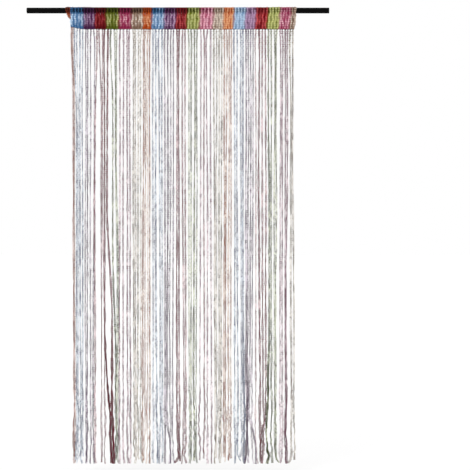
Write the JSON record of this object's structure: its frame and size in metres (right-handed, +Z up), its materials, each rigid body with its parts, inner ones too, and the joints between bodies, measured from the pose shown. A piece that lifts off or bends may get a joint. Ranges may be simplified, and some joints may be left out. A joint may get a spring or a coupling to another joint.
{
  "type": "string door curtain on rod",
  "caption": "String door curtain of glittering chain yarn in coloured bands, hung by its woven sleeve on a plain round pole.",
  "frame": {"origin": "middle of the pole's axis", "axes": "+X along the pole to the right as seen from the room, +Z up, -Y towards the room"},
  "size_m": [1.325, 0.0296, 2.0007],
  "materials": {
    "rod": "satin black paint",
    "header": "shiny ribbed weave in bands of blue, purple, red, green, pink, beige and orange",
    "strings": "chain yarn with glittering flakes, in the header's colours greyed"
  },
  "bodies": {
    "root": {"rod": "rod", "header": "header", "strings": "strings"}
  },
  "joints": []
}
